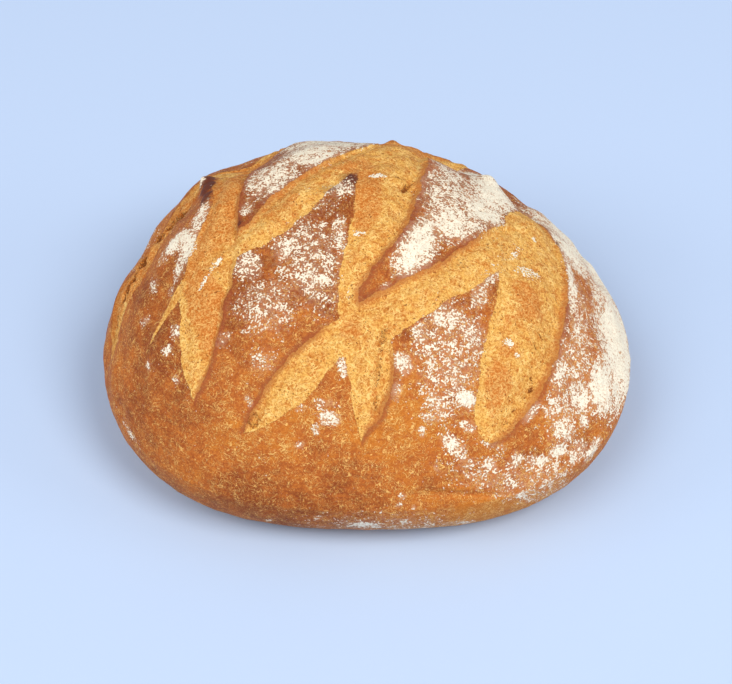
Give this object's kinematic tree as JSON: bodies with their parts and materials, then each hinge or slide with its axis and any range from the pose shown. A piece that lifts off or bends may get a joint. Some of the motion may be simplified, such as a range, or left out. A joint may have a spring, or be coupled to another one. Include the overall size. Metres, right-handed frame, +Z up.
{
  "type": "sourdough loaf",
  "caption": "Whole domed round bread loaf with a browned, flour-dusted crust opened by crossing slashes, resting on its flat base.",
  "frame": {"origin": "middle of the footprint's box, on the surface the loaf stands on", "axes": "+Z up, +X along the loaf's longer side to the viewer's right, +Y away from the viewer to the back"},
  "size_m": [0.2586, 0.2235, 0.1185],
  "materials": {
    "crust": "dull golden-brown baked crust with pale torn crumb in the slashes and cream flour dust"
  },
  "bodies": {
    "root": {"loaf": "crust"}
  },
  "joints": []
}
